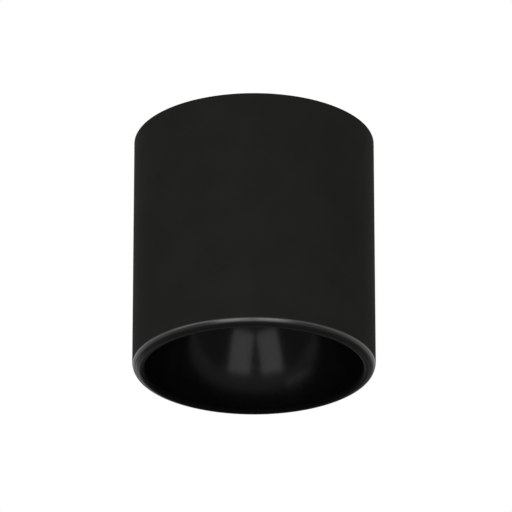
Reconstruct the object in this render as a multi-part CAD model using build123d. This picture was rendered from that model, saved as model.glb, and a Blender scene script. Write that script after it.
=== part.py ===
"""Surface-mounted ceiling downlight: a plain black can that twists onto a ceiling plate.

The can holds a driver, a finned heat sink and a small LED; a deep reflector below
the LED is held up in the mouth of the can by a screwed front ring.
Millimetres, +Z up. The origin is on the ceiling, on the can's axis, and Z falls to the rim.
"""
from build123d import *
from math import acos, asin, atan2, cos, degrees, hypot, radians, sin, sqrt
import os

# Overall size
body_diameter = 100.0
body_height = 103.0

# Can
wall_thickness = 2.0
rim_round = 3.5
edge_break = 0.2
ceiling_gap = 0.5

# Ceiling plate, pressed from sheet
plate_sheet = 1.5
plate_edge_gap = 1.0
screw_slot_spacing = 60.0
screw_slot_length = 10.0
screw_slot_width = 4.5
dish_depth = 2.5
dish_margin = 2.0
bend_round = 0.5

# Rubber grommet for the supply cable
grommet_bore_radius = 4.5
grommet_wall = 3.0
grommet_lip = 2.5
grommet_lip_height = 1.3
grommet_bevel = 0.5

# Twist lock: lugs on the plate, a notched flange in the can
lock_angles = (90.0, 210.0, 330.0)
lock_turn = 30.0
flange_width = 6.8
flange_thickness = 2.0
flange_play = 0.5
lug_width = 14.0
lug_grip = 3.3
lug_leg_gap = 0.6
lug_side_gap = 0.8
lug_tip_gap = 0.7
lug_relief = 1.0
stop_width = 2.5

# Heat sink, hung from bosses in the can
boss_radius = 4.5
boss_inset = 6.0
boss_height = 10.0
heat_sink_gap = 0.3
base_thickness = 5.0
fin_height = 12.0
fin_thickness = 1.6
fin_count = 24
fin_inset = 4.0
fin_clearance = 1.0
core_radius = 15.0
post_radius = 3.5
post_inset = 6.0
post_turn = 60.0

# Driver tray
tray_sheet = 1.5
tray_gap = 2.5
tray_fin_gap = 2.0

# Driver
driver_length = 54.0
driver_width = 28.0
driver_height = 20.0
driver_lid_height = 6.0
driver_wall = 1.6
driver_round = 1.5
driver_headroom = 2.5
driver_edge_gap = 2.0
driver_seam = 0.2
driver_screw_spacing = 40.0
driver_boss_radius = 3.2
driver_boss_height = 4.5
circuit_thickness = 1.6
circuit_gap = 0.5
transformer_size = (14.0, 13.0, 9.0)
capacitor_radius = 3.8
capacitor_length = 13.0

# Terminal block
terminal_length = 20.0
terminal_width = 14.0
terminal_height = 13.0
terminal_round = 0.8
pole_spacing = 12.0
pole_height = 5.5
insert_radius = 2.5
insert_bore_radius = 1.6
insert_length = 11.0
insert_gap = 0.1
lead_span = 18.0

# Leads
lead_radius = 0.9
lead_hole_gap = 0.25
lead_entry = 2.5
led_lead_stand_off = 4.5
led_lead_spacing = 3.5
led_lead_edge = 3.0
led_lead_bend = 7.0
lead_hump = 4.5

# LED
pad_size = 20.0
pad_thickness = 0.5
led_board_size = 19.6
led_board_thickness = 1.0
emitter_radius = 7.0
emitter_height = 0.6
holder_radius = 21.0
holder_height = 4.0
holder_window_radius = 8.5
holder_window_flare = 2.0
holder_pocket_gap = 0.2
holder_screw_spacing = 33.0

# Reflector and lens
reflector_wall = 1.2
mouth_setback = 0.2
mouth_tilt = 8.0
throat_radius = 18.5
throat_height = 1.2
collar_wall = 1.5
lens_radius = 21.4
lens_thickness = 2.0
lens_gap = 0.2
lens_bevel = 0.3
seal_width = 2.4
seal_height = 1.2
seal_proud = 0.3

# Front ring, screwed into the mouth of the can
ring_lip_thickness = 2.0
ring_lip_round = 1.7
ring_pocket_gap = 0.2
thread_clearance = 0.15
thread_pitch = 1.5
thread_turns = 4

# M3 screws
screw_radius = 1.5
screw_clearance = 0.1
screw_head_radius = 2.75
screw_head_height = 1.6
screw_head_bevel = 0.5
screw_bite = 6.0
recess_width = 0.8
recess_length = 3.0
recess_depth = 0.9

# Radii worked out from the driving sizes
body_radius = body_diameter / 2
bore_radius = body_radius - wall_thickness
rim_centre_radius = body_radius - rim_round
plate_radius = bore_radius - plate_edge_gap
grommet_hole_radius = grommet_bore_radius + grommet_wall
dish_radius = grommet_hole_radius + grommet_lip + dish_margin
flange_radius = bore_radius - flange_width
lug_leg_outer = sqrt((flange_radius - lug_leg_gap) ** 2 - (lug_width / 2) ** 2)
lug_leg_inner = lug_leg_outer - plate_sheet
lug_tip = flange_radius + lug_grip
notch_depth = hypot(lug_tip, lug_width / 2) + lug_tip_gap
notch_width = lug_width + 2 * lug_side_gap
boss_circle = bore_radius - boss_inset
post_circle = bore_radius - post_inset
tray_radius = bore_radius - tray_gap
screw_hole_radius = screw_radius + screw_clearance
ring_outer = bore_radius - thread_clearance
lip_round = min(ring_lip_round, ring_lip_thickness - edge_break)
ring_inner = rim_centre_radius - lip_round
ring_height = ring_lip_thickness + thread_pitch * thread_turns
mouth_radius = ring_inner + mouth_setback
mouth_outer = mouth_radius + reflector_wall
ring_pocket = mouth_outer + ring_pocket_gap
lens_seat_radius = lens_radius + lens_gap
collar_radius = lens_seat_radius + collar_wall

# Heights, from the ceiling down to the lens
plate_low = -plate_sheet
flange_high = plate_low - flange_play
flange_low = flange_high - flange_thickness
lug_low = flange_low - plate_sheet
driver_high = lug_low - driver_headroom
tray_high = driver_high - driver_height
tray_low = tray_high - tray_sheet
fin_high = tray_low - tray_fin_gap
base_high = fin_high - fin_height
base_low = base_high - base_thickness
pad_low = base_low - pad_thickness
led_board_low = pad_low - led_board_thickness
holder_low = base_low - holder_height
collar_high = holder_low - seal_proud
lens_high = holder_low - seal_height
lens_low = lens_high - lens_thickness
throat_low = lens_low - throat_height

# Heights, from the rim up
rim_low = -body_height
lip_high = rim_low + ring_lip_thickness

# Places on the tray, the driver as far out as the tray's edge and its leads to the LED allow
driver_edge_y = sqrt((tray_radius - driver_edge_gap) ** 2 - (driver_length / 2) ** 2)
driver_inner_y = min(driver_edge_y - driver_width, holder_radius / 2)
driver_outer_y = driver_inner_y + driver_width
driver_y = (driver_outer_y + driver_inner_y) / 2
terminal_back_y = driver_inner_y - lead_span
terminal_y = terminal_back_y - terminal_width / 2
driver_seam_z = driver_high - driver_lid_height
lead_z = tray_high + pole_height
led_lead_x = driver_length / 2 + led_lead_stand_off
led_lead_ys = [driver_inner_y + led_lead_edge + i * led_lead_spacing for i in range(2)]
led_lead_low = (base_low + holder_low) / 2
pole_xs = (-pole_spacing / 2, pole_spacing / 2)
boss_angles = lock_angles
post_angles = [angle - post_turn for angle in lock_angles]
holder_screw_xs = (-holder_screw_spacing / 2, holder_screw_spacing / 2)
driver_screw_xs = (-driver_screw_spacing / 2, driver_screw_spacing / 2)


def revolved(outline):
    """Turns a closed outline, drawn as (radius, height), about the can's axis."""
    return revolve(Plane.XZ * make_face(outline), Axis.Z)


def bevel_points(corners):
    """Points through (radius, height, bevel) corners, each cut back by its bevel."""
    points = []
    for i, (r, z, bevel) in enumerate(corners):
        here = Vector(r, z)
        if bevel == 0:
            points.append(here)
            continue
        for other in (corners[i - 1], corners[(i + 1) % len(corners)]):
            points.append(here + (Vector(other[0], other[1]) - here).normalized() * bevel)
    return points


def bevelled(corners):
    """Closed outline through (radius, height, bevel) corners."""
    return Polyline(*bevel_points(corners), close=True)


def rim_arc(outer, inner):
    """Part of the rim's round-over between two radii; the can and the ring each have a share."""
    start = -degrees(acos(1 - (body_radius - outer) / rim_round))
    end = -degrees(acos(1 - (body_radius - inner) / rim_round))
    return CenterArc((rim_centre_radius, rim_low + rim_round), rim_round, start, end - start)


def disc(radius, low, high, x=0.0, y=0.0):
    """Upright cylinder between two heights."""
    align = (Align.CENTER, Align.CENTER, Align.MIN)
    return Pos(x, y, low) * Cylinder(radius, high - low, align=align)


def block(x_range, y_range, z_range):
    """Box between the given limits."""
    low = Vector(x_range[0], y_range[0], z_range[0])
    size = Vector(x_range[1], y_range[1], z_range[1]) - low
    align = (Align.MIN, Align.MIN, Align.MIN)
    return Pos(low) * Box(size.X, size.Y, size.Z, align=align)


def around(shape, angles):
    """Copies of a shape at several angles about the can's axis."""
    return [Rot(0, 0, angle) * shape for angle in angles]


def upright_edges(shape):
    """Edges that run along Z."""
    return shape.edges().filter_by(Axis.Z)


def screw(length):
    """Pan-head screw with a cross recess, its head's seat at Z 0 and its shank down."""
    head = disc(screw_head_radius, 0, screw_head_height)
    head = chamfer(head.edges().group_by(Axis.Z)[-1], screw_head_bevel)
    arm = Box(recess_length, recess_width, 2 * recess_depth)
    recess = Pos(0, 0, screw_head_height) * (arm + Rot(0, 0, 90) * arm)
    return head + disc(screw_radius, -length, 0) - recess


def boss_column(radius, low, high):
    """Round-nosed rib from the can's wall, before it is turned to its angle."""
    web = block((boss_circle, bore_radius), (-radius, radius), (low, high))
    return disc(radius, low, high, boss_circle) + web


def make_ceiling_plate():
    """Sheet disc with a dished centre, two screw slots and three folded lugs."""
    dish_edge = dish_radius + dish_depth
    slope_shift = plate_sheet * (sqrt(2) - 1)
    outline = Polyline(
        (grommet_hole_radius, -dish_depth),
        (dish_radius, -dish_depth),
        (dish_edge, 0),
        (plate_radius, 0),
        (plate_radius, plate_low),
        (dish_edge + slope_shift, plate_low),
        (dish_radius + slope_shift, plate_low - dish_depth),
        (grommet_hole_radius, plate_low - dish_depth),
        close=True,
    )
    plate = revolved(outline)

    slot = extrude(SlotOverall(screw_slot_length, screw_slot_width), plate_low)
    plate -= [Pos(x, 0, 0) * slot for x in (-screw_slot_spacing / 2, screw_slot_spacing / 2)]

    stub = lug_leg_inner - lug_relief
    notch_half = lug_width / 2 + lug_relief
    notch = block((stub, body_radius), (-notch_half, notch_half), (plate_low, 0))
    plate -= around(notch, lock_angles)

    outer_bend = bend_round + plate_sheet
    fold = FilletPolyline(
        (stub, 0),
        (lug_leg_outer, 0),
        (lug_leg_outer, flange_low),
        (lug_tip, flange_low),
        (lug_tip, lug_low),
        (lug_leg_inner, lug_low),
        (lug_leg_inner, plate_low),
        (stub, plate_low),
        radius=(0, outer_bend, bend_round, 0, 0, outer_bend, bend_round, 0),
        close=True,
    )
    lug = extrude(Plane.XZ * make_face(fold), lug_width / 2, both=True)
    return plate + around(lug, lock_angles)


def make_cable_grommet():
    """Rubber bush with a groove that grips the plate's centre hole."""
    groove_high = -dish_depth
    groove_low = groove_high - plate_sheet
    lip_radius = grommet_hole_radius + grommet_lip
    corners = [
        (grommet_bore_radius, groove_high + grommet_lip_height, 0),
        (lip_radius, groove_high + grommet_lip_height, grommet_bevel),
        (lip_radius, groove_high, 0),
        (grommet_hole_radius, groove_high, 0),
        (grommet_hole_radius, groove_low, 0),
        (lip_radius, groove_low, 0),
        (lip_radius, groove_low - grommet_lip_height, grommet_bevel),
        (grommet_bore_radius, groove_low - grommet_lip_height, 0),
    ]
    return revolved(bevelled(corners))


def make_housing():
    """Can: tube with a rounded rim, notched lock flange, stops and screw bosses."""
    can_high = -ceiling_gap
    rim = rim_arc(body_radius, bore_radius)
    corners = [
        (bore_radius, (rim @ 1).Y, 0),
        (bore_radius, flange_low, 0),
        (flange_radius, flange_low, 0),
        (flange_radius, flange_high, 0),
        (bore_radius, flange_high, 0),
        (bore_radius, can_high, edge_break),
        (body_radius, can_high, edge_break),
        (body_radius, (rim @ 0).Y, 0),
    ]
    can = revolved([rim, Polyline(*bevel_points(corners))])

    half = notch_width / 2
    notch = block((flange_radius - lug_grip, notch_depth), (-half, half), (flange_low, flange_high))
    can -= around(notch, [angle + lock_turn for angle in lock_angles])

    stop = block((flange_radius, lug_tip), (half, half + stop_width), (lug_low, flange_low))
    locked_stop = mirror(stop, about=Plane.XZ)
    can += around(locked_stop, lock_angles)
    can += around(stop, [angle + lock_turn for angle in lock_angles])

    boss = boss_column(boss_radius, base_high, base_high + boss_height)
    boss -= disc(screw_hole_radius, base_high, base_high + screw_bite + edge_break, boss_circle)
    return can + around(boss, boss_angles)


def make_heat_sink():
    """Round base with a centre core, radial fins and three posts for the tray."""
    base_radius = bore_radius - heat_sink_gap
    fin_radius = bore_radius - fin_inset
    sink = disc(base_radius, base_low, base_high) + disc(core_radius, base_high, fin_high)

    half = fin_thickness / 2
    fin = block((0, fin_radius), (-half, half), (base_high, fin_high))
    fin_pitch = 360.0 / fin_count
    fins = Part() + around(fin, [(i + 0.5) * fin_pitch for i in range(fin_count)])
    fins -= around(boss_column(boss_radius + fin_clearance, base_high, fin_high), boss_angles)
    sink += fins

    post = disc(post_radius, base_high, tray_low, post_circle)
    sink += around(post, post_angles)
    post_hole = disc(screw_hole_radius, tray_low - screw_bite - edge_break, tray_low, post_circle)
    sink -= around(post_hole, post_angles)

    sink -= around(disc(screw_hole_radius, base_low, base_high, boss_circle), boss_angles)
    sink -= [disc(screw_hole_radius, base_low, base_high - edge_break, x) for x in holder_screw_xs]
    return sink - make_lead_slot(base_low, fin_high)


def make_lead_slot(low, high):
    """Opening that lets the LED leads down through a plate."""
    gap = lead_radius + 2 * lead_hole_gap
    x_range = (led_lead_x - led_lead_bend, led_lead_x + gap)
    return block(x_range, (led_lead_ys[0] - gap, led_lead_ys[-1] + gap), (low, high))


def make_heat_sink_screws():
    """Screws from below the base up into the can's bosses."""
    bolt = Pos(boss_circle, 0, base_low) * Rot(180, 0, 0) * screw(base_thickness + screw_bite)
    return around(bolt, boss_angles)


def make_tray():
    """Sheet disc that carries the driver and the terminal block."""
    tray = disc(tray_radius, tray_low, tray_high)
    tray -= around(boss_column(boss_radius + fin_clearance, tray_low, tray_high), boss_angles)
    hole = disc(screw_hole_radius, tray_low, tray_high)
    tray -= around(Pos(post_circle, 0, 0) * hole, post_angles)
    tray -= [Pos(x, driver_y, 0) * hole for x in driver_screw_xs]
    tray -= Pos(0, terminal_y, 0) * hole
    return tray - make_lead_slot(tray_low, tray_high)


def make_tray_screws():
    """Screws that hold the tray on the heat sink's posts."""
    bolt = Pos(post_circle, 0, tray_high) * screw(tray_sheet + screw_bite)
    return around(bolt, post_angles)


def driver_shell(low, high):
    """Closed block of the driver case between two heights, with rounded corners."""
    half = driver_length / 2
    shell = block((-half, half), (driver_inner_y, driver_outer_y), (low, high))
    return fillet(upright_edges(shell), driver_round)


def driver_cavity(low, high, inset=driver_wall):
    """Room inside the driver case, drawn in from the walls by the inset."""
    half = driver_length / 2 - inset
    return block((-half, half), (driver_inner_y + inset, driver_outer_y - inset), (low, high))


def make_driver_base():
    """Lower case with two screw bosses and holes for the leads."""
    floor = tray_high + driver_wall
    case = driver_shell(tray_high, driver_seam_z) - driver_cavity(floor, driver_seam_z)
    case += [disc(driver_boss_radius, floor, floor + driver_boss_height, x, driver_y) for x in driver_screw_xs]
    bite = driver_wall + driver_boss_height - edge_break
    case -= [disc(screw_hole_radius, tray_high, tray_high + bite, x, driver_y) for x in driver_screw_xs]

    hole_radius = lead_radius + lead_hole_gap
    across = Pos(0, 0, lead_z) * Rot(90, 0, 0) * Cylinder(hole_radius, 2 * driver_wall)
    case -= [Pos(x, driver_inner_y, 0) * across for x in pole_xs]
    along = Pos(driver_length / 2, 0, lead_z) * Rot(0, 90, 0) * Cylinder(hole_radius, 2 * driver_wall)
    return case - [Pos(0, y, 0) * along for y in led_lead_ys]


def make_driver_lid():
    """Upper case with a skirt that drops inside the lower case."""
    lid = driver_shell(driver_seam_z, driver_high)
    lid = fillet(lid.edges().group_by(Axis.Z)[-1], driver_wall / 2)
    skirt_inset = driver_wall + driver_seam
    skirt = driver_cavity(driver_seam_z - driver_wall, driver_seam_z, skirt_inset)
    return lid + skirt - driver_cavity(
        driver_seam_z - driver_wall, driver_high - driver_wall, skirt_inset + driver_wall
    )


def circuit_high():
    """Upper face of the driver's circuit board, which rests on the screw bosses."""
    return tray_high + driver_wall + driver_boss_height + circuit_thickness


def make_driver_board():
    """Circuit board inside the driver."""
    top = circuit_high()
    return driver_cavity(top - circuit_thickness, top, driver_wall + circuit_gap)


def make_driver_transformer():
    """Wound core on the board: two flanges and a narrower winding between them."""
    length, width, height = transformer_size
    top = circuit_high()
    flange_length = length / 5
    centre_x = -driver_length / 6
    ends = [
        block((x, x + flange_length), (driver_y - width / 2, driver_y + width / 2), (top, top + height))
        for x in (centre_x - length / 2, centre_x + length / 2 - flange_length)
    ]
    winding = Rot(0, 90, 0) * Cylinder(height / 2 - edge_break, length - flange_length)
    return Part() + ends + Pos(centre_x, driver_y, top + height / 2) * winding


def make_driver_capacitor():
    """Round capacitor lying on the board."""
    can = Cylinder(capacitor_radius, capacitor_length)
    can = chamfer(can.edges().filter_by(GeomType.CIRCLE), 2 * edge_break)
    can = Rot(0, 90, 0) * can
    return Pos(driver_length / 5, driver_y, circuit_high() + capacitor_radius) * can


def make_driver_screws():
    """Screws from below the tray up into the driver's bosses."""
    bite = driver_wall + driver_boss_height - 2 * edge_break
    bolt = Rot(180, 0, 0) * screw(tray_sheet + bite)
    return [Pos(x, driver_y, tray_low) * bolt for x in driver_screw_xs]


def make_terminal_block():
    """Two-pole block with a bore for each insert and a well for each clamp screw."""
    half = terminal_length / 2
    top = tray_high + terminal_height
    body = block((-half, half), (terminal_back_y - terminal_width, terminal_back_y), (tray_high, top))
    body = fillet(body.edges().group_by(Axis.Z)[-1], terminal_round)
    body -= [pole_bore(x, insert_radius + insert_gap, terminal_width) for x in pole_xs]
    body -= [disc(screw_head_radius, lead_z, top, x, terminal_y) for x in pole_xs]
    body -= disc(screw_hole_radius, tray_high, top, 0, terminal_y)
    return body - disc(screw_head_radius + screw_clearance, terminal_screw_seat(), top, 0, terminal_y)


def pole_bore(x, radius, length):
    """Cylinder along Y through one pole of the terminal block."""
    return Pos(x, terminal_y, lead_z) * Rot(90, 0, 0) * Cylinder(radius, length)


def terminal_screw_seat():
    """Height at which the terminal block's fixing screw bears on it."""
    return tray_high + terminal_height - 2 * screw_head_height


def make_terminal_inserts():
    """Brass sleeves that the wires go into, each with a hole for its clamp screw."""
    inserts = []
    for x in pole_xs:
        sleeve = pole_bore(x, insert_radius, insert_length) - pole_bore(x, insert_bore_radius, insert_length)
        hole = disc(screw_hole_radius, lead_z, lead_z + 2 * insert_radius, x, terminal_y)
        inserts.append(sleeve - hole)
    return inserts


def make_terminal_screws():
    """Slotted clamp screws, one above each insert."""
    low = lead_z + lead_radius
    high = tray_high + terminal_height - terminal_round
    slot = Box(2 * screw_radius, recess_width, 2 * recess_depth)
    return [
        disc(screw_radius, low, high, x, terminal_y) - Pos(x, terminal_y, high) * slot for x in pole_xs
    ]


def make_terminal_fixing_screw():
    """Screw that holds the terminal block to the tray."""
    seat = terminal_screw_seat()
    return Pos(0, terminal_y, seat) * screw(seat - tray_low)


def make_lead(points, bends):
    """Round lead along straight runs joined by tangent arcs, one bend radius for each corner."""
    path = FilletPolyline(*points, radius=bends)
    section = Plane(path @ 0, z_dir=path % 0) * Circle(lead_radius)
    lead = sweep(section, path=path)
    expected = section.area * path.length
    print("lead: bends", bends, f"volume {lead.volume:.1f}, section times length {expected:.1f}")
    return lead


def make_supply_lead(x):
    """Lead from one terminal insert, over a hump, into the driver."""
    start = terminal_y + insert_length / 2 - lead_entry
    end = driver_inner_y + driver_wall
    quarter = lead_span / 4
    points = [
        (x, start, lead_z),
        (x, terminal_back_y + quarter / 2, lead_z),
        (x, terminal_back_y + 2 * quarter, lead_z + lead_hump),
        (x, terminal_back_y + 3.5 * quarter, lead_z),
        (x, end, lead_z),
    ]
    return make_lead(points, [quarter] * 3)


def make_led_lead(y):
    """Lead from the driver's end, down through the tray and base, into the LED holder."""
    start = driver_length / 2 - driver_wall
    end = sqrt(holder_radius**2 - y**2) - lead_entry
    points = [
        (start, y, lead_z),
        (led_lead_x, y, lead_z),
        (led_lead_x, y, led_lead_low),
        (end, y, led_lead_low),
    ]
    return make_lead(points, [led_lead_stand_off, led_lead_bend])


def square(size, low, high):
    """Square plate centred on the axis."""
    return block((-size / 2, size / 2), (-size / 2, size / 2), (low, high))


def make_led_emitter():
    """Round phosphor patch under the LED board."""
    patch = disc(emitter_radius, led_board_low - emitter_height, led_board_low)
    return chamfer(patch.edges().group_by(Axis.Z)[0], emitter_height / 2)


def make_led_holder():
    """Moulded ring that presses the LED board to the heat sink and takes its leads."""
    ring = disc(holder_radius, holder_low, base_low)
    ring = chamfer(ring.edges().group_by(Axis.Z)[0], edge_break)
    ring -= square(pad_size + 2 * holder_pocket_gap, led_board_low, base_low)
    window = Cone(
        holder_window_radius + holder_window_flare,
        holder_window_radius,
        led_board_low - holder_low,
        align=(Align.CENTER, Align.CENTER, Align.MIN),
    )
    ring -= Pos(0, 0, holder_low) * window
    for x in holder_screw_xs:
        ring -= disc(screw_hole_radius, holder_low, base_low, x)
        ring -= disc(screw_head_radius + screw_clearance, holder_low, holder_screw_seat(), x)
    across = Rot(0, 90, 0) * Cylinder(lead_radius + lead_hole_gap, 2 * lead_entry)
    for y in led_lead_ys:
        ring -= Pos(sqrt(holder_radius**2 - y**2), y, led_lead_low) * across
    return ring


def holder_screw_seat():
    """Height at which the holder's screw heads bear."""
    return holder_low + screw_head_height + edge_break


def make_led_holder_screws():
    """Screws that hold the LED holder to the heat sink."""
    seat = holder_screw_seat()
    bolt = Rot(180, 0, 0) * screw(base_high - seat - 2 * edge_break)
    return [Pos(x, 0, seat) * bolt for x in holder_screw_xs]


def bowl_arc():
    """Centre, radius and end tilts of the reflector's inner arc, from its mouth to its throat."""
    start = radians(mouth_tilt)
    inward, upward = mouth_radius - throat_radius, throat_low - lip_high
    end = 2 * atan2(inward, upward) - start
    radius = hypot(inward, upward) / (2 * sin((end - start) / 2))
    centre = (mouth_radius - radius * cos(start), lip_high - radius * sin(start))
    return centre, radius, start, end


def make_reflector():
    """Spun bowl of even thickness with a collar above it for the lens."""
    (centre_r, centre_z), radius, start, end = bowl_arc()
    outer = radius + reflector_wall
    outer_start = asin((lip_high - centre_z) / outer)
    outer_end = atan2(sqrt(outer**2 - (collar_radius - centre_r) ** 2), collar_radius - centre_r)
    inner_arc = CenterArc((centre_r, centre_z), radius, degrees(start), degrees(end - start))
    outer_arc = CenterArc((centre_r, centre_z), outer, degrees(outer_start), degrees(outer_end - outer_start))
    neck = Polyline(
        inner_arc @ 1,
        (throat_radius, lens_low),
        (lens_seat_radius, lens_low),
        (lens_seat_radius, collar_high),
        (collar_radius, collar_high),
        outer_arc @ 1,
    )
    return revolved([inner_arc, neck, outer_arc, Line(outer_arc @ 0, inner_arc @ 0)])


def make_lens():
    """Flat clear disc in the reflector's collar."""
    return chamfer(disc(lens_radius, lens_low, lens_high).edges(), lens_bevel)


def make_lens_seal():
    """Silicone ring between the lens and the LED holder."""
    return disc(lens_radius, lens_high, holder_low) - disc(lens_radius - seal_width, lens_high, holder_low)


def make_front_ring():
    """Ring in the mouth of the can, with a lip that carries the reflector."""
    ring_high = rim_low + ring_height
    rim = rim_arc(ring_outer, rim_centre_radius)
    lip = CenterArc((rim_centre_radius, rim_low + lip_round), lip_round, -90, -90)
    corners = [
        (ring_inner, rim_low + lip_round, 0),
        (ring_inner, lip_high, 0),
        (ring_pocket, lip_high, 0),
        (ring_pocket, ring_high, edge_break),
        (ring_outer, ring_high, edge_break),
        (ring_outer, (rim @ 0).Y, 0),
    ]
    return revolved([rim, lip, Polyline(*bevel_points(corners))])


pieces = {
    "ceiling_plate": make_ceiling_plate(),
    "cable_grommet": make_cable_grommet(),
    "housing": make_housing(),
    "heat_sink": make_heat_sink(),
    "heat_sink_screws": make_heat_sink_screws(),
    "driver_tray": make_tray(),
    "tray_screws": make_tray_screws(),
    "driver_base": make_driver_base(),
    "driver_lid": make_driver_lid(),
    "driver_board": make_driver_board(),
    "driver_transformer": make_driver_transformer(),
    "driver_capacitor": make_driver_capacitor(),
    "driver_screws": make_driver_screws(),
    "terminal_block": make_terminal_block(),
    "terminal_inserts": make_terminal_inserts(),
    "terminal_screws": make_terminal_screws(),
    "terminal_fixing_screw": make_terminal_fixing_screw(),
    "live_lead": make_supply_lead(pole_xs[0]),
    "neutral_lead": make_supply_lead(pole_xs[1]),
    "led_lead_positive": make_led_lead(led_lead_ys[0]),
    "led_lead_negative": make_led_lead(led_lead_ys[1]),
    "thermal_pad": square(pad_size, pad_low, base_low),
    "led_board": square(led_board_size, led_board_low, pad_low),
    "led_emitter": make_led_emitter(),
    "led_holder": make_led_holder(),
    "led_holder_screws": make_led_holder_screws(),
    "reflector": make_reflector(),
    "lens": make_lens(),
    "lens_seal": make_lens_seal(),
    "front_ring": make_front_ring(),
}

os.makedirs("parts", exist_ok=True)
for name, piece in pieces.items():
    solids = piece if isinstance(piece, list) else [piece]
    shape = Compound(children=[solid for item in solids for solid in item.solids()])
    export_step(shape, f"parts/{name}.step")
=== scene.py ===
import bpy
import bmesh
import math
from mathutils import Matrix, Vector


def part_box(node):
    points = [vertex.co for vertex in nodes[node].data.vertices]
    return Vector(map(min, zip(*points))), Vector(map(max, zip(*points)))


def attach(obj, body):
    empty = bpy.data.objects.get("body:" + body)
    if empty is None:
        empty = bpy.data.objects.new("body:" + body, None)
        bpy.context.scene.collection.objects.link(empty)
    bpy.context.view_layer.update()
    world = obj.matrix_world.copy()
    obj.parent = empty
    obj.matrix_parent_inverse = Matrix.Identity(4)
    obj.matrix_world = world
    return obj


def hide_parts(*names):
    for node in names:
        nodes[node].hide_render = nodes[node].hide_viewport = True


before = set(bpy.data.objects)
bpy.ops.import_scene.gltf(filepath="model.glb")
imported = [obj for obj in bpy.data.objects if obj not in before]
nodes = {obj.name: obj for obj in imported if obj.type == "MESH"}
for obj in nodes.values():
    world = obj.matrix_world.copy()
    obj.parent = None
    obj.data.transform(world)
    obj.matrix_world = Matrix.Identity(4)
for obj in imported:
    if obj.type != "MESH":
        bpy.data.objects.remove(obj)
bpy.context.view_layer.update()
scene = bpy.context.scene
scene.view_settings.view_transform = "Standard"
mm = 0.001
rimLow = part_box("front_ring")[0][2] / mm  # the part's lowest height, in millimetres
print("frame loaded,", len(nodes), "nodes, rim at", round(rimLow, 3), "mm")


# camera at the photo's angle, looking up at the can from a long way off
photoCamera = {
    "lookAt": (0.00082, 0.0, -0.0514),
    "distance": 2.25,
    "degreesBelow": 23.85,
    "lens": 382.2,
    "sensor": 36.0,
    "clipStart": 0.01,
}


def placeCamera(values):
    data = bpy.data.cameras.new("photoCamera")
    data.lens = values["lens"]
    data.sensor_width = values["sensor"]
    data.clip_start = values["clipStart"]
    camera = bpy.data.objects.new("photoCamera", data)
    scene.collection.objects.link(camera)
    drop = math.radians(values["degreesBelow"])
    away = Vector((0.0, -math.cos(drop), -math.sin(drop)))
    camera.location = Vector(values["lookAt"]) + away * values["distance"]
    camera.rotation_euler = (-away).to_track_quat("-Z", "Y").to_euler()
    scene.camera = camera


placeCamera(photoCamera)
print("camera placed")


# plain white studio: pale floor far below, soft panels left and right of the camera, weaker ones
# at the left and behind, white all round
studio = {
    "floorHeight": -2.9,
    "floorSize": 12.0,
    "floorColor": (0.9, 0.9, 0.9, 1.0),
    "floorRoughness": 0.9,
    "ambient": 0.52,
    "panelAim": (0.0, 0.0, -0.05),
}
panels = [
    # name, place, size, watts
    ("frontLeftPanel", (-0.63, -1.601, -1.255), (0.89, 1.13), 11.36),
    ("frontRightPanel", (0.517, -1.641, -1.255), (0.89, 1.13), 11.36),
    ("leftPanel", (-1.626, -1.139, -0.294), (1.38, 0.49), 2.98),
    ("backLeftPanel", (-0.629, 2.058, -0.507), (0.86, 0.7), 6.37),
]


def whiteWorld(values):
    # full white where it is seen, also in gloss and glass, and less as a light
    world = bpy.data.worlds.new("whiteStudio")
    scene.world = world
    world.use_nodes = True
    tree = world.node_tree
    tree.nodes.clear()
    path = tree.nodes.new("ShaderNodeLightPath")
    seen = tree.nodes.new("ShaderNodeMath")
    seen.operation = "MAXIMUM"
    tree.links.new(path.outputs["Is Camera Ray"], seen.inputs[0])
    tree.links.new(path.outputs["Is Glossy Ray"], seen.inputs[1])
    seenToo = tree.nodes.new("ShaderNodeMath")
    seenToo.operation = "MAXIMUM"
    tree.links.new(seen.outputs[0], seenToo.inputs[0])
    tree.links.new(path.outputs["Is Transmission Ray"], seenToo.inputs[1])
    strength = tree.nodes.new("ShaderNodeMapRange")
    strength.inputs["To Min"].default_value = values["ambient"]
    strength.inputs["To Max"].default_value = 1.0
    tree.links.new(seenToo.outputs[0], strength.inputs["Value"])
    background = tree.nodes.new("ShaderNodeBackground")
    background.inputs["Color"].default_value = (1, 1, 1, 1)
    tree.links.new(strength.outputs["Result"], background.inputs["Strength"])
    out = tree.nodes.new("ShaderNodeOutputWorld")
    tree.links.new(background.outputs[0], out.inputs["Surface"])


def paleFloor(values):
    mesh = bpy.data.meshes.new("floor")
    half = values["floorSize"] / 2
    z = values["floorHeight"]
    corners = [(-half, -half, z), (half, -half, z), (half, half, z), (-half, half, z)]
    mesh.from_pydata(corners, [], [(0, 1, 2, 3)])
    floor = bpy.data.objects.new("floor", mesh)
    scene.collection.objects.link(floor)
    material = bpy.data.materials.new("paleFloor")
    material.use_nodes = True
    shader = material.node_tree.nodes["Principled BSDF"]
    shader.inputs["Base Color"].default_value = values["floorColor"]
    shader.inputs["Roughness"].default_value = values["floorRoughness"]
    shader.inputs["Specular IOR Level"].default_value = 0.0
    mesh.materials.append(material)


def softPanel(name, place, size, watts, aim):
    data = bpy.data.lights.new(name, "AREA")
    data.shape = "RECTANGLE"
    data.size, data.size_y = size
    data.energy = watts
    panel = bpy.data.objects.new(name, data)
    scene.collection.objects.link(panel)
    panel.location = place
    toPart = Vector(aim) - Vector(place)
    panel.rotation_euler = toPart.to_track_quat("-Z", "Y").to_euler()
    panel.visible_camera = False


whiteWorld(studio)
paleFloor(studio)
for panel in panels:
    softPanel(*panel, studio["panelAim"])
print("studio lit")


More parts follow.
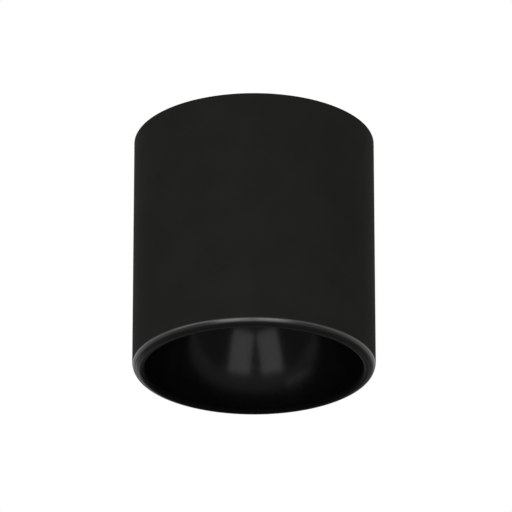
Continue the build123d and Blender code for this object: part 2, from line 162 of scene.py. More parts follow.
# finishes: each is a colour that drifts a little, an uneven roughness and a fine bump
noise = {
    "detail": 3.0,
    "grainDetail": 2.0,
    "span": (0.3, 0.7),  # the stretch of its values that is spread over a roughness
    "colorSpan": (0.35, 0.65),
    "bumpDepth": 0.0001,
}


def newFinish(name):
    material = bpy.data.materials.new(name)
    material.use_nodes = True
    tree = material.node_tree
    shader = tree.nodes["Principled BSDF"]
    coords = tree.nodes.new("ShaderNodeTexCoord")
    return material, tree, shader, coords.outputs["Object"]


def addNoise(tree, coords, scale, detail=noise["detail"]):
    node = tree.nodes.new("ShaderNodeTexNoise")
    node.inputs["Scale"].default_value = scale
    node.inputs["Detail"].default_value = detail
    tree.links.new(coords, node.inputs["Vector"])
    return node.outputs["Fac"]


def addRange(tree, value, span):
    node = tree.nodes.new("ShaderNodeMapRange")
    node.inputs["From Min"].default_value, node.inputs["From Max"].default_value = noise["span"]
    node.inputs["To Min"].default_value, node.inputs["To Max"].default_value = span
    tree.links.new(value, node.inputs["Value"])
    return node.outputs["Result"]


def addColors(tree, value, first, second):
    ramp = tree.nodes.new("ShaderNodeValToRGB")
    for stop, position, color in zip(ramp.color_ramp.elements, noise["colorSpan"], (first, second)):
        stop.position = position
        stop.color = (*color, 1)
    tree.links.new(value, ramp.inputs["Fac"])
    return ramp.outputs["Color"]


def mixColors(tree, share, under, over):
    mix = tree.nodes.new("ShaderNodeMix")
    mix.data_type = "RGBA"
    tree.links.new(share, mix.inputs["Factor"])
    tree.links.new(under, mix.inputs["A"])
    mix.inputs["B"].default_value = (*over, 1)
    return mix.outputs["Result"]


def addBump(tree, shader, height, strength, distance):
    bump = tree.nodes.new("ShaderNodeBump")
    bump.inputs["Strength"].default_value = strength
    bump.inputs["Distance"].default_value = distance
    tree.links.new(height, bump.inputs["Height"])
    tree.links.new(bump.outputs["Normal"], shader.inputs["Normal"])


def addRimShadeAndGloss(tree, coords, values):
    # the rounded rim has a smoother coat than the wall, glossiest along its crest; its base colour
    # is painted darker there, a painted shade
    split = tree.nodes.new("ShaderNodeSeparateXYZ")
    tree.links.new(coords, split.inputs[0])
    flat = tree.nodes.new("ShaderNodeCombineXYZ")
    tree.links.new(split.outputs["X"], flat.inputs["X"])
    tree.links.new(split.outputs["Y"], flat.inputs["Y"])
    radius = tree.nodes.new("ShaderNodeVectorMath")
    radius.operation = "LENGTH"
    tree.links.new(flat.outputs[0], radius.inputs[0])
    shares = []
    for value, span, blend in (
        (split.outputs["Z"], values["edgeHeight"], "SMOOTHSTEP"),
        (radius.outputs["Value"], values["edgeRadius"], "LINEAR"),
    ):
        node = tree.nodes.new("ShaderNodeMapRange")
        node.interpolation_type = blend
        node.inputs["From Min"].default_value, node.inputs["From Max"].default_value = span
        tree.links.new(value, node.inputs["Value"])
        shares.append(node.outputs["Result"])
    onRim, acrossRim = shares
    ramp = tree.nodes.new("ShaderNodeValToRGB")
    stops = ramp.color_ramp.elements
    stops.remove(stops[1])
    for position, weight in values["edgeGloss"]:
        stop = stops[0] if position == 0 else stops.new(position)
        stop.color = (weight, weight, weight, 1)
    tree.links.new(acrossRim, ramp.inputs["Fac"])
    gloss = tree.nodes.new("ShaderNodeMath")
    gloss.operation = "MULTIPLY"
    tree.links.new(onRim, gloss.inputs[0])
    tree.links.new(ramp.outputs["Color"], gloss.inputs[1])
    return onRim, gloss.outputs[0]


def grainFinish(name, values):
    material, tree, shader, coords = newFinish(name)
    drift = addNoise(tree, coords, values["drift"])
    color = addColors(tree, drift, values["first"], values["second"])
    if "rimShadeColor" in values:
        edge, gloss = addRimShadeAndGloss(tree, coords, values)
        # painted shade: on the rounded rim the base colour is mixed toward a darker colour
        color = mixColors(tree, edge, color, values["rimShadeColor"])
        tree.links.new(gloss, shader.inputs["Coat Weight"])
        shader.inputs["Coat Roughness"].default_value = values["edgeRoughness"]
        shader.inputs["Coat IOR"].default_value = values["edgeIor"]
    tree.links.new(color, shader.inputs["Base Color"])
    grain = addNoise(tree, coords, values["grain"], noise["grainDetail"])
    tree.links.new(addRange(tree, grain, values["roughness"]), shader.inputs["Roughness"])
    addBump(tree, shader, grain, values["bump"], values.get("depth", noise["bumpDepth"]))
    shader.inputs["Metallic"].default_value = values.get("metallic", 0.0)
    shader.inputs["Specular IOR Level"].default_value = values.get("specular", 0.5)
    return material


def spangleFinish(name, values):
    material, tree, shader, coords = newFinish(name)
    cells = tree.nodes.new("ShaderNodeTexVoronoi")
    cells.inputs["Scale"].default_value = values["spangle"]
    tree.links.new(coords, cells.inputs["Vector"])
    split = tree.nodes.new("ShaderNodeSeparateColor")
    tree.links.new(cells.outputs["Color"], split.inputs["Color"])
    color = addColors(tree, split.outputs["Red"], values["first"], values["second"])
    tree.links.new(color, shader.inputs["Base Color"])
    rough = addRange(tree, split.outputs["Green"], values["roughness"])
    tree.links.new(rough, shader.inputs["Roughness"])
    grain = addNoise(tree, coords, values["grain"])
    addBump(tree, shader, grain, values["bump"], values["depth"])
    shader.inputs["Metallic"].default_value = 1.0
    return material


def glassFinish(name, values):
    material, tree, shader, coords = newFinish(name)
    haze = addNoise(tree, coords, values["drift"])
    color = addColors(tree, haze, values["first"], values["second"])
    tree.links.new(color, shader.inputs["Base Color"])
    tree.links.new(addRange(tree, haze, values["roughness"]), shader.inputs["Roughness"])
    shader.inputs["Transmission Weight"].default_value = 1.0
    shader.inputs["IOR"].default_value = values["ior"]
    return material


def boardFinish(name, values):
    material, tree, shader, coords = newFinish(name)
    tracks = tree.nodes.new("ShaderNodeTexBrick")
    tracks.inputs["Scale"].default_value = values["tracks"]
    tracks.inputs["Color1"].default_value = (*values["first"], 1)
    tracks.inputs["Color2"].default_value = (*values["second"], 1)
    tracks.inputs["Mortar"].default_value = (*values["gap"], 1)
    tree.links.new(coords, tracks.inputs["Vector"])
    tree.links.new(tracks.outputs["Color"], shader.inputs["Base Color"])
    grain = addNoise(tree, coords, values["grain"])
    tree.links.new(addRange(tree, grain, values["roughness"]), shader.inputs["Roughness"])
    addBump(tree, shader, tracks.outputs["Fac"], values["bump"], values["depth"])
    return material


coatValues = {
    "first": (0.0148, 0.0147, 0.0137), "second": (0.0167, 0.0166, 0.0155), "drift": 60.0,
    "grain": 2600.0, "roughness": (0.66, 0.78), "specular": 0.01, "bump": 0.12, "depth": 0.00006,
    "edgeHeight": ((rimLow + 2.9) * mm, (rimLow + 2.2) * mm), "edgeRadius": (45.0 * mm, 50.0 * mm),
    "edgeGloss": ((0.0, 0.0), (0.3, 0.04), (0.5, 0.14), (0.76, 0.17), (0.84, 0.52), (0.91, 0.54),
                  (0.955, 1.0)),  # how far across the rim, weight of the gloss
    # the rim's colour is painted shade, a darker base colour for the rounded rim than the wall
    "edgeRoughness": 0.28, "edgeIor": 1.75, "rimShadeColor": (0.002, 0.002, 0.0019),
}
glossValues = {
    "first": (0.0012, 0.0012, 0.0012), "second": (0.0022, 0.0021, 0.002), "drift": 40.0,
    "grain": 700.0, "roughness": (0.14, 0.19), "specular": 0.11, "bump": 0.02, "depth": 0.00003,
}
zincValues = {
    "first": (0.56, 0.57, 0.59), "second": (0.62, 0.63, 0.65), "spangle": 620.0,
    "grain": 900.0, "roughness": (0.33, 0.41), "bump": 0.06, "depth": 0.00005,
}
castValues = {
    "first": (0.5, 0.505, 0.51), "second": (0.6, 0.605, 0.61), "drift": 90.0,
    "grain": 1900.0, "roughness": (0.38, 0.52), "metallic": 1.0, "bump": 0.2, "depth": 0.00008,
}
screwValues = {
    "first": (0.55, 0.55, 0.52), "second": (0.68, 0.68, 0.66), "drift": 300.0,
    "grain": 2500.0, "roughness": (0.2, 0.34), "metallic": 1.0, "bump": 0.05,
}
rubberValues = {
    "first": (0.012, 0.012, 0.012), "second": (0.02, 0.02, 0.02), "drift": 120.0,
    "grain": 1800.0, "roughness": (0.6, 0.78), "specular": 0.3, "bump": 0.15,
}
siliconeValues = {
    "first": (0.62, 0.62, 0.6), "second": (0.7, 0.7, 0.68), "drift": 150.0,
    "grain": 1200.0, "roughness": (0.45, 0.55), "specular": 0.4, "bump": 0.05,
}
whiteValues = {
    "first": (0.76, 0.76, 0.74), "second": (0.82, 0.82, 0.8), "drift": 80.0,
    "grain": 1500.0, "roughness": (0.4, 0.52), "bump": 0.08,
}
creamValues = {
    "first": (0.7, 0.66, 0.56), "second": (0.76, 0.72, 0.62), "drift": 110.0,
    "grain": 1300.0, "roughness": (0.38, 0.5), "bump": 0.06,
}
padValues = {
    "first": (0.3, 0.31, 0.33), "second": (0.37, 0.38, 0.4), "drift": 200.0,
    "grain": 1500.0, "roughness": (0.7, 0.85), "bump": 0.1,
}
phosphorValues = {
    "first": (0.78, 0.5, 0.04), "second": (0.88, 0.6, 0.08), "drift": 500.0,
    "grain": 2600.0, "roughness": (0.3, 0.4), "bump": 0.1,
}
brassValues = {
    "first": (0.6, 0.42, 0.16), "second": (0.7, 0.5, 0.2), "drift": 260.0,
    "grain": 2200.0, "roughness": (0.22, 0.36), "metallic": 1.0, "bump": 0.05,
}
tapeValues = {
    "first": (0.6, 0.4, 0.05), "second": (0.72, 0.5, 0.08), "drift": 140.0,
    "grain": 900.0, "roughness": (0.35, 0.5), "bump": 0.05,
}
sleeveValues = {
    "first": (0.012, 0.015, 0.04), "second": (0.02, 0.026, 0.06), "drift": 140.0,
    "grain": 900.0, "roughness": (0.2, 0.32), "bump": 0.03,
}
glassValues = {
    "first": (0.96, 0.97, 0.97), "second": (0.99, 0.99, 0.99), "drift": 70.0,
    "roughness": (0.0, 0.03), "ior": 1.47,
}
boardValues = {
    "first": (0.02, 0.16, 0.06), "second": (0.03, 0.2, 0.08), "gap": (0.05, 0.26, 0.11),
    "tracks": 160.0, "grain": 800.0, "roughness": (0.3, 0.42), "bump": 0.2, "depth": 0.00005,
}
ledBoardValues = {
    "first": (0.78, 0.78, 0.76), "second": (0.82, 0.82, 0.8), "gap": (0.7, 0.69, 0.66),
    "tracks": 90.0, "grain": 900.0, "roughness": (0.3, 0.42), "bump": 0.2, "depth": 0.00005,
}
wireValues = {"drift": 200.0, "grain": 900.0, "roughness": (0.35, 0.48), "bump": 0.03}
wireColors = {
    "live_lead": ((0.11, 0.045, 0.02), (0.15, 0.06, 0.028)),
    "neutral_lead": ((0.02, 0.07, 0.32), (0.03, 0.1, 0.4)),
    "led_lead_positive": ((0.36, 0.015, 0.012), (0.44, 0.02, 0.018)),
    "led_lead_negative": ((0.012, 0.012, 0.012), (0.02, 0.02, 0.02)),
}

blackCoat = grainFinish("blackPowderCoat", coatValues)
glossBlack = grainFinish("glossBlackBowl", glossValues)
zincSheet = spangleFinish("zincSheet", zincValues)
castAlloy = grainFinish("castAlloy", castValues)
screwSteel = grainFinish("screwSteel", screwValues)
blackRubber = grainFinish("blackRubber", rubberValues)
clearSilicone = grainFinish("clearSilicone", siliconeValues)
whiteMould = grainFinish("whiteMould", whiteValues)
creamMould = grainFinish("creamMould", creamValues)
greyPad = grainFinish("greyPad", padValues)
phosphor = grainFinish("phosphor", phosphorValues)
turnedBrass = grainFinish("turnedBrass", brassValues)
windingTape = grainFinish("windingTape", tapeValues)
shrinkSleeve = grainFinish("shrinkSleeve", sleeveValues)
lensGlass = glassFinish("lensGlass", glassValues)
greenBoard = boardFinish("greenBoard", boardValues)
ledBoard = boardFinish("ledBoard", ledBoardValues)
print("finishes made,", len(bpy.data.materials), "materials")


# node trees: spin an outline, cut a thread, repeat round the axis, shade a CAD node
weldGap = {"spun": 0.000001, "cadNode": 0.000002, "finished": 0.0000005}  # metres
sharpDegrees = {"made": 35.0, "cadNode": 32.0}
wallSlack = 0.00005  # how far inside the crest a point still counts as the threaded wall


def newTree(name, inputs):
    tree = bpy.data.node_groups.new(name, "GeometryNodeTree")
    tree.interface.new_socket("Geometry", in_out="INPUT", socket_type="NodeSocketGeometry")
    keys = {}
    for label, kind in inputs:
        socket = tree.interface.new_socket(label, in_out="INPUT", socket_type="NodeSocket" + kind)
        keys[label] = socket.identifier
    tree.interface.new_socket("Geometry", in_out="OUTPUT", socket_type="NodeSocketGeometry")
    return tree, tree.nodes.new("NodeGroupInput"), tree.nodes.new("NodeGroupOutput"), keys


def mathNode(tree, operation, first, second=None):
    node = tree.nodes.new("ShaderNodeMath")
    node.operation = operation
    for socket, value in zip(node.inputs, (first, second)):
        if value is None:
            continue
        if isinstance(value, (int, float)):
            socket.default_value = value
        else:
            tree.links.new(value, socket)
    return node.outputs[0]


def endTree(tree, geometry, material, groupOut):
    realize = tree.nodes.new("GeometryNodeRealizeInstances")
    tree.links.new(geometry, realize.inputs["Geometry"])
    paint = tree.nodes.new("GeometryNodeSetMaterial")
    tree.links.new(realize.outputs["Geometry"], paint.inputs["Geometry"])
    tree.links.new(material, paint.inputs["Material"])
    tree.links.new(paint.outputs["Geometry"], groupOut.inputs[0])


def spinTree():
    # a grid takes its rows from the outline's points and its columns from the angle
    inputs = [("Segments", "Int"), ("Material", "Material")]
    tree, groupIn, groupOut, keys = newTree("spunOutline", inputs)
    size = tree.nodes.new("GeometryNodeAttributeDomainSize")
    tree.links.new(groupIn.outputs["Geometry"], size.inputs["Geometry"])
    last = mathNode(tree, "SUBTRACT", size.outputs["Point Count"], 1.0)
    columns = mathNode(tree, "ADD", groupIn.outputs["Segments"], 1.0)
    grid = tree.nodes.new("GeometryNodeMeshGrid")
    grid.inputs["Size X"].default_value = 1.0
    tree.links.new(last, grid.inputs["Size Y"])
    tree.links.new(columns, grid.inputs["Vertices X"])
    tree.links.new(size.outputs["Point Count"], grid.inputs["Vertices Y"])
    here = tree.nodes.new("GeometryNodeInputPosition")
    split = tree.nodes.new("ShaderNodeSeparateXYZ")
    tree.links.new(here.outputs[0], split.inputs[0])
    turns = mathNode(tree, "ADD", split.outputs["X"], 0.5)
    angle = mathNode(tree, "MULTIPLY", turns, 2 * math.pi)
    row = mathNode(tree, "ADD", split.outputs["Y"], mathNode(tree, "MULTIPLY", last, 0.5))
    whole = tree.nodes.new("FunctionNodeFloatToInt")
    tree.links.new(row, whole.inputs[0])
    sample = tree.nodes.new("GeometryNodeSampleIndex")
    sample.data_type = "FLOAT_VECTOR"
    tree.links.new(groupIn.outputs["Geometry"], sample.inputs["Geometry"])
    tree.links.new(here.outputs[0], sample.inputs["Value"])
    tree.links.new(whole.outputs[0], sample.inputs["Index"])
    point = tree.nodes.new("ShaderNodeSeparateXYZ")
    tree.links.new(sample.outputs["Value"], point.inputs[0])
    radius = point.outputs["X"]
    place = tree.nodes.new("ShaderNodeCombineXYZ")
    x = mathNode(tree, "MULTIPLY", radius, mathNode(tree, "COSINE", angle))
    y = mathNode(tree, "MULTIPLY", radius, mathNode(tree, "SINE", angle))
    tree.links.new(x, place.inputs["X"])
    tree.links.new(y, place.inputs["Y"])
    tree.links.new(point.outputs["Z"], place.inputs["Z"])
    move = tree.nodes.new("GeometryNodeSetPosition")
    tree.links.new(grid.outputs["Mesh"], move.inputs["Geometry"])
    tree.links.new(place.outputs[0], move.inputs["Position"])
    weld = tree.nodes.new("GeometryNodeMergeByDistance")
    weld.inputs["Distance"].default_value = weldGap["spun"]
    tree.links.new(move.outputs["Geometry"], weld.inputs["Geometry"])
    endTree(tree, weld.outputs["Geometry"], groupIn.outputs["Material"], groupOut)
    return tree, keys


def threadTree():
    # pulls the wall in along a right-hand helix, fading out at both ends
    inputs = [("Crest Radius", "Float"), ("Depth", "Float"), ("Pitch", "Float"), ("Low", "Float"),
              ("High", "Float"), ("Fade", "Float"), ("Material", "Material")]
    tree, groupIn, groupOut, keys = newTree("cutThread", inputs)
    sizes = groupIn.outputs
    here = tree.nodes.new("GeometryNodeInputPosition")
    split = tree.nodes.new("ShaderNodeSeparateXYZ")
    tree.links.new(here.outputs[0], split.inputs[0])
    x, y, z = split.outputs
    xSquare = mathNode(tree, "MULTIPLY", x, x)
    ySquare = mathNode(tree, "MULTIPLY", y, y)
    radius = mathNode(tree, "SQRT", mathNode(tree, "ADD", xSquare, ySquare))
    turn = mathNode(tree, "DIVIDE", mathNode(tree, "ARCTAN2", y, x), 2 * math.pi)
    pitches = mathNode(tree, "DIVIDE", z, sizes["Pitch"])
    phase = mathNode(tree, "FRACT", mathNode(tree, "SUBTRACT", pitches, turn))
    fromMiddle = mathNode(tree, "ABSOLUTE", mathNode(tree, "SUBTRACT", phase, 0.5))
    groove = mathNode(tree, "MULTIPLY", fromMiddle, 2.0)
    inside = mathNode(tree, "SUBTRACT", sizes["Crest Radius"], wallSlack)
    onWall = mathNode(tree, "GREATER_THAN", radius, inside)
    aboveLow = mathNode(tree, "SUBTRACT", z, sizes["Low"])
    rise = mathNode(tree, "DIVIDE", aboveLow, sizes["Fade"])
    belowHigh = mathNode(tree, "SUBTRACT", sizes["High"], z)
    fall = mathNode(tree, "DIVIDE", belowHigh, sizes["Fade"])
    nearEnd = mathNode(tree, "MINIMUM", mathNode(tree, "MINIMUM", rise, fall), 1.0)
    fade = mathNode(tree, "MAXIMUM", nearEnd, 0.0)
    faded = mathNode(tree, "MULTIPLY", groove, fade)
    depth = mathNode(tree, "MULTIPLY", onWall, sizes["Depth"])
    cut = mathNode(tree, "MULTIPLY", faded, depth)
    share = mathNode(tree, "MULTIPLY", mathNode(tree, "DIVIDE", cut, radius), -1.0)
    shift = tree.nodes.new("ShaderNodeCombineXYZ")
    tree.links.new(mathNode(tree, "MULTIPLY", x, share), shift.inputs["X"])
    tree.links.new(mathNode(tree, "MULTIPLY", y, share), shift.inputs["Y"])
    move = tree.nodes.new("GeometryNodeSetPosition")
    tree.links.new(groupIn.outputs["Geometry"], move.inputs["Geometry"])
    tree.links.new(shift.outputs[0], move.inputs["Offset"])
    endTree(tree, move.outputs["Geometry"], groupIn.outputs["Material"], groupOut)
    return tree, keys


def repeatTree():
    inputs = [("Count", "Int"), ("First Angle", "Float"), ("Material", "Material")]
    tree, groupIn, groupOut, keys = newTree("roundTheAxis", inputs)
    points = tree.nodes.new("GeometryNodePoints")
    tree.links.new(groupIn.outputs["Count"], points.inputs["Count"])
    number = tree.nodes.new("GeometryNodeInputIndex")
    step = mathNode(tree, "DIVIDE", 2 * math.pi, groupIn.outputs["Count"])
    turned = mathNode(tree, "MULTIPLY", number.outputs[0], step)
    angle = mathNode(tree, "ADD", turned, groupIn.outputs["First Angle"])
    turn = tree.nodes.new("FunctionNodeAxisAngleToRotation")
    turn.inputs["Axis"].default_value = (0, 0, 1)
    tree.links.new(angle, turn.inputs["Angle"])
    copies = tree.nodes.new("GeometryNodeInstanceOnPoints")
    tree.links.new(points.outputs[0], copies.inputs["Points"])
    tree.links.new(groupIn.outputs["Geometry"], copies.inputs["Instance"])
    tree.links.new(turn.outputs[0], copies.inputs["Rotation"])
    endTree(tree, copies.outputs["Instances"], groupIn.outputs["Material"], groupOut)
    return tree, keys


def shadeTree():
    # for a CAD node that stays: its loose triangles are welded and shaded smooth up to an angle
    tree, groupIn, groupOut, keys = newTree("weldAndShade", [("Sharp Angle", "Float")])
    weld = tree.nodes.new("GeometryNodeMergeByDistance")
    weld.inputs["Distance"].default_value = weldGap["cadNode"]
    tree.links.new(groupIn.outputs["Geometry"], weld.inputs["Geometry"])
    smooth = tree.nodes.new("GeometryNodeSetShadeSmooth")
    tree.links.new(weld.outputs["Geometry"], smooth.inputs["Geometry"])
    bend = tree.nodes.new("GeometryNodeInputMeshEdgeAngle").outputs["Unsigned Angle"]
    sharp = mathNode(tree, "GREATER_THAN", bend, groupIn.outputs["Sharp Angle"])
    edges = tree.nodes.new("GeometryNodeSetShadeSmooth")
    edges.domain = "EDGE"
    edges.inputs["Shade Smooth"].default_value = False
    tree.links.new(smooth.outputs["Geometry"], edges.inputs["Geometry"])
    tree.links.new(sharp, edges.inputs["Selection"])
    tree.links.new(edges.outputs["Geometry"], groupOut.inputs[0])
    return tree, keys


spun, spunKeys = spinTree()
threaded, threadedKeys = threadTree()
repeated, repeatedKeys = repeatTree()
shaded, shadedKeys = shadeTree()
print("node trees made,", len(bpy.data.node_groups))


# ways to make a piece, from outlines of (radius, height) points in millimetres
cornerSteps = 6


def newObject(name, mesh):
    piece = bpy.data.objects.new(name, mesh)
    scene.collection.objects.link(piece)
    return piece


def runTree(piece, tree, keys, values):
    modifier = piece.modifiers.new(tree.name, "NODES")
    modifier.node_group = tree
    for label, value in values.items():
        modifier[keys[label]] = value
    depsgraph = bpy.context.evaluated_depsgraph_get()
    plain = bpy.data.meshes.new_from_object(piece.evaluated_get(depsgraph))
    piece.modifiers.clear()
    piece.data = plain
    plain.name = piece.name


def closeMesh(piece):
    work = bmesh.new()
    work.from_mesh(piece.data)
    bmesh.ops.remove_doubles(work, verts=work.verts, dist=weldGap["finished"])
    bmesh.ops.recalc_face_normals(work, faces=work.faces)
    work.to_mesh(piece.data)
    work.free()
    piece.data.polygons.foreach_set("use_smooth", [True] * len(piece.data.polygons))
    piece.data.set_sharp_from_angle(angle=math.radians(sharpDegrees["made"]))
    piece.data.update()


def softOutline(corners):
    # corners are (radius, height, rounding), in order round the section
    points = []
    for i, (r, z, rounding) in enumerate(corners):
        here = Vector((r, z))
        if rounding == 0:
            points.append(here)
            continue
        before = (Vector(corners[i - 1][:2]) - here).normalized()
        after = (Vector(corners[(i + 1) % len(corners)][:2]) - here).normalized()
        half = before.angle(after) / 2
        middle = here + (before + after).normalized() * (rounding / math.sin(half))
        reach = rounding / math.tan(half)
        start = here + before * reach - middle
        sweep = start.angle_signed(here + after * reach - middle)
        for k in range(cornerSteps + 1):
            turn = -sweep * k / cornerSteps
            c, s = math.cos(turn), math.sin(turn)
            points.append(middle + Vector((start.x * c - start.y * s, start.x * s + start.y * c)))
    return [(p.x, p.y) for p in points]


def arcPoints(centre, radius, first, last, steps):
    turns = [math.radians(first + (last - first) * k / steps) for k in range(steps + 1)]
    return [(centre[0] + radius * math.cos(t), centre[1] + radius * math.sin(t)) for t in turns]


def spinPiece(name, outline, material, segments, closed=True):
    loop = list(outline) + ([outline[0]] if closed else [])
    points = [(r * mm, 0, z * mm) for r, z in loop]
    edges = [(i, i + 1) for i in range(len(loop) - 1)]
    mesh = bpy.data.meshes.new(name)
    mesh.from_pydata(points, edges, [])
    piece = newObject(name, mesh)
    runTree(piece, spun, spunKeys, {"Segments": segments, "Material": material})
    closeMesh(piece)
    return piece


# can: plain tube, its rim one soft round that runs on over the ring
rim = {"centre": (46.5, rimLow + 3.5), "round": 3.5}
can = {"bore": 48.0, "radius": 50.0, "top": -0.5, "topRound": 0.2, "rimSteps": 20, "topSteps": 6,
       "segments": 320}


def rimTurn(radius):
    return -math.degrees(math.acos((radius - rim["centre"][0]) / rim["round"]))


def makeCan(values):
    soft, steps = values["topRound"], values["topSteps"]
    z = values["top"] - soft
    outline = arcPoints(rim["centre"], rim["round"], 0, rimTurn(values["bore"]), values["rimSteps"])
    outline += arcPoints((values["bore"] + soft, z), soft, 180, 90, steps)
    outline += arcPoints((values["radius"] - soft, z), soft, 90, 0, steps)
    piece = spinPiece("canWall", outline, blackCoat, values["segments"])
    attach(piece, "can")
    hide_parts("housing")


# lock flange inside the top of the can, with a notch for each lug of the ceiling plate, and the
# bosses for the heat sink
flange = {"inner": 41.2, "outer": 48.2, "top": -2.0, "low": -4.0, "arcSteps": 48,
          "notches": 3, "firstNotch": 120.0, "notchWidth": 15.6, "notchReach": 45.75,
          "stopWidth": 2.5, "stopDrop": 1.5, "stopReach": 44.5, "turn": 30.0}
boss = {"circle": 42.0, "radius": 4.5, "low": -43.5, "high": -33.5, "noseSteps": 24, "first": 90.0}


def flangeEdge(values):
    # the notched inner edge, as (radius, angle)
    half, reach = values["notchWidth"] / 2, values["notchReach"]
    side = math.sqrt(values["inner"] ** 2 - half ** 2)
    corner = math.atan2(half, side)
    between = 2 * math.pi / values["notches"] - 2 * corner
    edge = []
    for k in range(values["notches"]):
        turn = math.radians(values["firstNotch"] + 360 / values["notches"] * k)
        for x, y in ((side, -half), (reach, -half), (reach, 0.0), (reach, half), (side, half)):
            edge.append((math.hypot(x, y), turn + math.atan2(y, x)))
        for j in range(1, values["arcSteps"]):
            edge.append((values["inner"], turn + corner + between * j / values["arcSteps"]))
    return edge


def ringVerts(work, points, z):
    verts = []
    for r, a in points:
        verts.append(work.verts.new((r * math.cos(a) * mm, r * math.sin(a) * mm, z * mm)))
    return verts


def makeFlange(values):
    inner = flangeEdge(values)
    outer = [(values["outer"], a) for _, a in inner]
    mesh = bpy.data.meshes.new("lockFlange")
    work = bmesh.new()
    topEdge = ringVerts(work, inner, values["top"])
    topWall = ringVerts(work, outer, values["top"])
    lowEdge = ringVerts(work, inner, values["low"])
    lowWall = ringVerts(work, outer, values["low"])
    for i in range(len(inner)):
        j = (i + 1) % len(inner)
        work.faces.new((topEdge[i], topEdge[j], topWall[j], topWall[i]))
        work.faces.new((lowWall[i], lowWall[j], lowEdge[j], lowEdge[i]))
        work.faces.new((lowEdge[i], lowEdge[j], topEdge[j], topEdge[i]))
        work.faces.new((topWall[i], topWall[j], lowWall[j], lowWall[i]))
    work.to_mesh(mesh)
    work.free()
    mesh.materials.append(blackCoat)
    piece = newObject("lockFlange", mesh)
    closeMesh(piece)
    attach(piece, "can")
    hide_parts("housing")


def addBlock(work, xs, ys, zs, turn=0.0):
    c, s = math.cos(turn), math.sin(turn)
    for v in bmesh.ops.create_cube(work, size=1.0)["verts"]:
        x = xs[0] + (v.co.x + 0.5) * (xs[1] - xs[0])
        y = ys[0] + (v.co.y + 0.5) * (ys[1] - ys[0])
        z = zs[0] + (v.co.z + 0.5) * (zs[1] - zs[0])
        v.co = Vector((x * c - y * s, x * s + y * c, z)) * mm


def makeStopsAndBosses(lock, post):
    # one third of the can's inner ribs, repeated round the axis
    work = bmesh.new()
    half, width = lock["notchWidth"] / 2, lock["stopWidth"]
    xs = (lock["inner"], lock["stopReach"])
    zs = (lock["low"] - lock["stopDrop"], lock["low"])
    addBlock(work, xs, (-half - width, -half), zs)
    addBlock(work, xs, (half, half + width), zs, math.radians(lock["turn"]))
    radius = post["radius"]
    nose = arcPoints((post["circle"], 0.0), radius, 90, 270, post["noseSteps"])
    outline = [(lock["outer"], radius)] + nose + [(lock["outer"], -radius)]
    top = [work.verts.new((x * mm, y * mm, post["high"] * mm)) for x, y in outline]
    foot = [work.verts.new((x * mm, y * mm, post["low"] * mm)) for x, y in outline]
    work.faces.new(top)
    work.faces.new(list(reversed(foot)))
    for i in range(len(outline)):
        j = (i + 1) % len(outline)
        work.faces.new((top[i], foot[i], foot[j], top[j]))
    mesh = bpy.data.meshes.new("canRibs")
    work.to_mesh(mesh)
    work.free()
    piece = newObject("canRibs", mesh)
    runTree(piece, repeated, repeatedKeys, {
        "Count": lock["notches"],
        "First Angle": math.radians(post["first"]),
        "Material": blackCoat,
    })
    closeMesh(piece)
    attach(piece, "can")
    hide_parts("housing")


makeCan(can)
makeFlange(flange)
makeStopsAndBosses(flange, boss)
print("can made")


# front ring with its thread; its face ends the rim's round and turns up into the mouth
ring = {"outer": 47.85, "inner": 44.8, "pocket": 46.4, "lip": rimLow + 2.0, "high": rimLow + 8.0,
        "lipRound": 1.7, "lipSteps": 14, "faceSteps": 8, "edge": 0.15, "edgeSteps": 4,
        "topBevel": 0.25, "pitch": 1.5, "threadDepth": 0.55, "threadLow": rimLow + 1.8,
        "threadFade": 0.5, "rows": 52, "segments": 320}


def makeRing(values):
    outer, inner, pocket = values["outer"], values["inner"], values["pocket"]
    lip, high, edge = values["lip"], values["high"], values["edge"]
    bevel, soft, rows = values["topBevel"], values["lipRound"], values["rows"]
    threadLow, threadHigh = values["threadLow"], high - bevel
    outline = arcPoints((inner + edge, lip - edge), edge, 90, 180, values["edgeSteps"])
    outline += arcPoints((inner + soft, rimLow + soft), soft, 180, 270, values["lipSteps"])
    outline += arcPoints(rim["centre"], rim["round"], -90, rimTurn(outer), values["faceSteps"])[1:]
    span = threadHigh - threadLow
    outline += [(outer, threadLow + span * k / rows) for k in range(rows + 1)]
    outline += [(outer - bevel, high), (pocket + edge, high), (pocket, high - edge), (pocket, lip)]
    piece = spinPiece("ringBody", outline, blackCoat, values["segments"])
    runTree(piece, threaded, threadedKeys, {
        "Crest Radius": outer * mm,
        "Depth": values["threadDepth"] * mm,
        "Pitch": values["pitch"] * mm,
        "Low": threadLow * mm,
        "High": threadHigh * mm,
        "Fade": values["threadFade"] * mm,
        "Material": blackCoat,
    })
    closeMesh(piece)
    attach(piece, "ring")
    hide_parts("front_ring")


makeRing(ring)
print("ring made")


# reflector: a bowl drawn as one arc, with a collar for the lens
bowl = {"mouth": 45.0, "mouthLow": rimLow + 2.0, "mouthTilt": 8.0, "throat": 18.5,
        "throatLow": -56.9, "wall": 1.2, "seat": -55.7, "seatRadius": 21.6, "collar": 23.1,
        "collarTop": -52.8, "steps": 48, "segments": 320}
lens = {"radius": 21.4, "low": -55.7, "high": -53.7, "bevel": 0.3, "segments": 192}


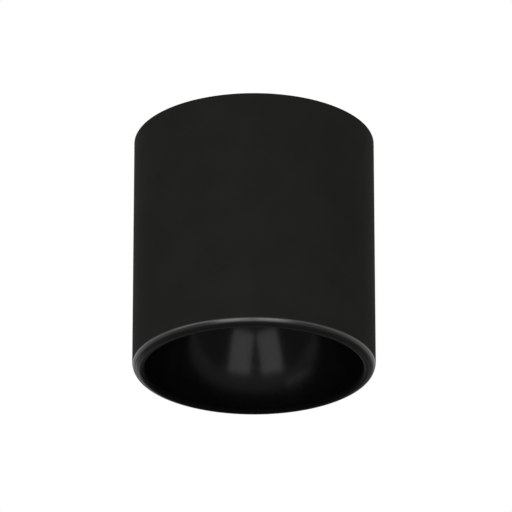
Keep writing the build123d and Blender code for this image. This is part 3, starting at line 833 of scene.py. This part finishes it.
def makeBowl(values):
    start = math.radians(values["mouthTilt"])
    inward = values["mouth"] - values["throat"]
    upward = values["throatLow"] - values["mouthLow"]
    end = 2 * math.atan2(inward, upward) - start
    radius = math.hypot(inward, upward) / (2 * math.sin((end - start) / 2))
    centreR = values["mouth"] - radius * math.cos(start)
    centreZ = values["mouthLow"] - radius * math.sin(start)
    centre = (centreR, centreZ)
    outer = radius + values["wall"]
    outerStart = math.degrees(math.asin((values["mouthLow"] - centreZ) / outer))
    outerEnd = math.degrees(math.acos((values["collar"] - centreR) / outer))
    steps = values["steps"]
    outline = arcPoints(centre, radius, values["mouthTilt"], math.degrees(end), steps)
    outline += [
        (values["throat"], values["seat"]),
        (values["seatRadius"], values["seat"]),
        (values["seatRadius"], values["collarTop"]),
        (values["collar"], values["collarTop"]),
    ]
    outline += arcPoints(centre, outer, outerEnd, outerStart, steps)
    piece = spinPiece("bowl", outline, glossBlack, values["segments"])
    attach(piece, "reflector_unit")
    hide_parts("reflector")


def makeLens(values):
    radius, bevel = values["radius"], values["bevel"]
    low, high = values["low"], values["high"]
    outline = [(0.0, low), (radius - bevel, low), (radius, low + bevel),
               (radius, high - bevel), (radius - bevel, high), (0.0, high)]
    piece = spinPiece("lensDisc", outline, lensGlass, values["segments"], closed=False)
    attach(piece, "reflector_unit")
    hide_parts("lens")


makeBowl(bowl)
makeLens(lens)
print("reflector and lens made")


# rubber bush in the ceiling plate, softly rounded
grommet = {"bore": 4.5, "groove": 7.5, "lip": 10.0, "top": -1.2, "grooveTop": -2.5,
           "grooveLow": -4.0, "low": -5.3, "boreRound": 0.4, "lipRound": 0.55, "edgeRound": 0.15,
           "segments": 128}


def makeGrommet(values):
    outline = softOutline([
        (values["bore"], values["top"], values["boreRound"]),
        (values["lip"], values["top"], values["lipRound"]),
        (values["lip"], values["grooveTop"], values["edgeRound"]),
        (values["groove"], values["grooveTop"], 0),
        (values["groove"], values["grooveLow"], 0),
        (values["lip"], values["grooveLow"], values["edgeRound"]),
        (values["lip"], values["low"], values["lipRound"]),
        (values["bore"], values["low"], values["boreRound"]),
    ])
    piece = spinPiece("cableBush", outline, blackRubber, values["segments"])
    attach(piece, "ceiling_mount")
    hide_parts("cable_grommet")


# pale dam round the LED's phosphor
dam = {"inner": 7.05, "outer": 7.9, "base": -50.0, "low": -50.75, "innerRound": 0.2,
       "outerRound": 0.3, "segments": 96}


def makeDam(values):
    outline = softOutline([
        (values["inner"], values["base"], 0),
        (values["inner"], values["low"], values["innerRound"]),
        (values["outer"], values["low"], values["outerRound"]),
        (values["outer"], values["base"], 0),
    ])
    piece = spinPiece("ledDam", outline, whiteMould, values["segments"])
    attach(piece, "can")


makeGrommet(grommet)
makeDam(dam)
print("small pieces made")


# CAD nodes that stay keep their shape and get a finish
nodeFinishes = {
    "ceiling_plate": zincSheet, "driver_tray": zincSheet,
    "heat_sink": castAlloy,
    "heat_sink_screws": screwSteel, "tray_screws": screwSteel, "driver_screws": screwSteel,
    "led_holder_screws": screwSteel, "terminal_screws": screwSteel,
    "terminal_fixing_screw": screwSteel,
    "driver_base": whiteMould, "driver_lid": whiteMould, "led_holder": whiteMould,
    "driver_board": greenBoard, "led_board": ledBoard,
    "driver_transformer": windingTape, "driver_capacitor": shrinkSleeve,
    "terminal_block": creamMould, "terminal_inserts": turnedBrass,
    "thermal_pad": greyPad, "led_emitter": phosphor, "lens_seal": clearSilicone,
}
for name, (first, second) in wireColors.items():
    wire = dict(wireValues, first=first, second=second)
    nodeFinishes[name] = grainFinish(name + "Sleeve", wire)
for name, finish in nodeFinishes.items():
    node = nodes[name]
    node.data.materials.clear()
    node.data.materials.append(finish)
    modifier = node.modifiers.new("weldAndShade", "NODES")
    modifier.node_group = shaded
    modifier[shadedKeys["Sharp Angle"]] = math.radians(sharpDegrees["cadNode"])
print("CAD nodes finished,", len(nodeFinishes))
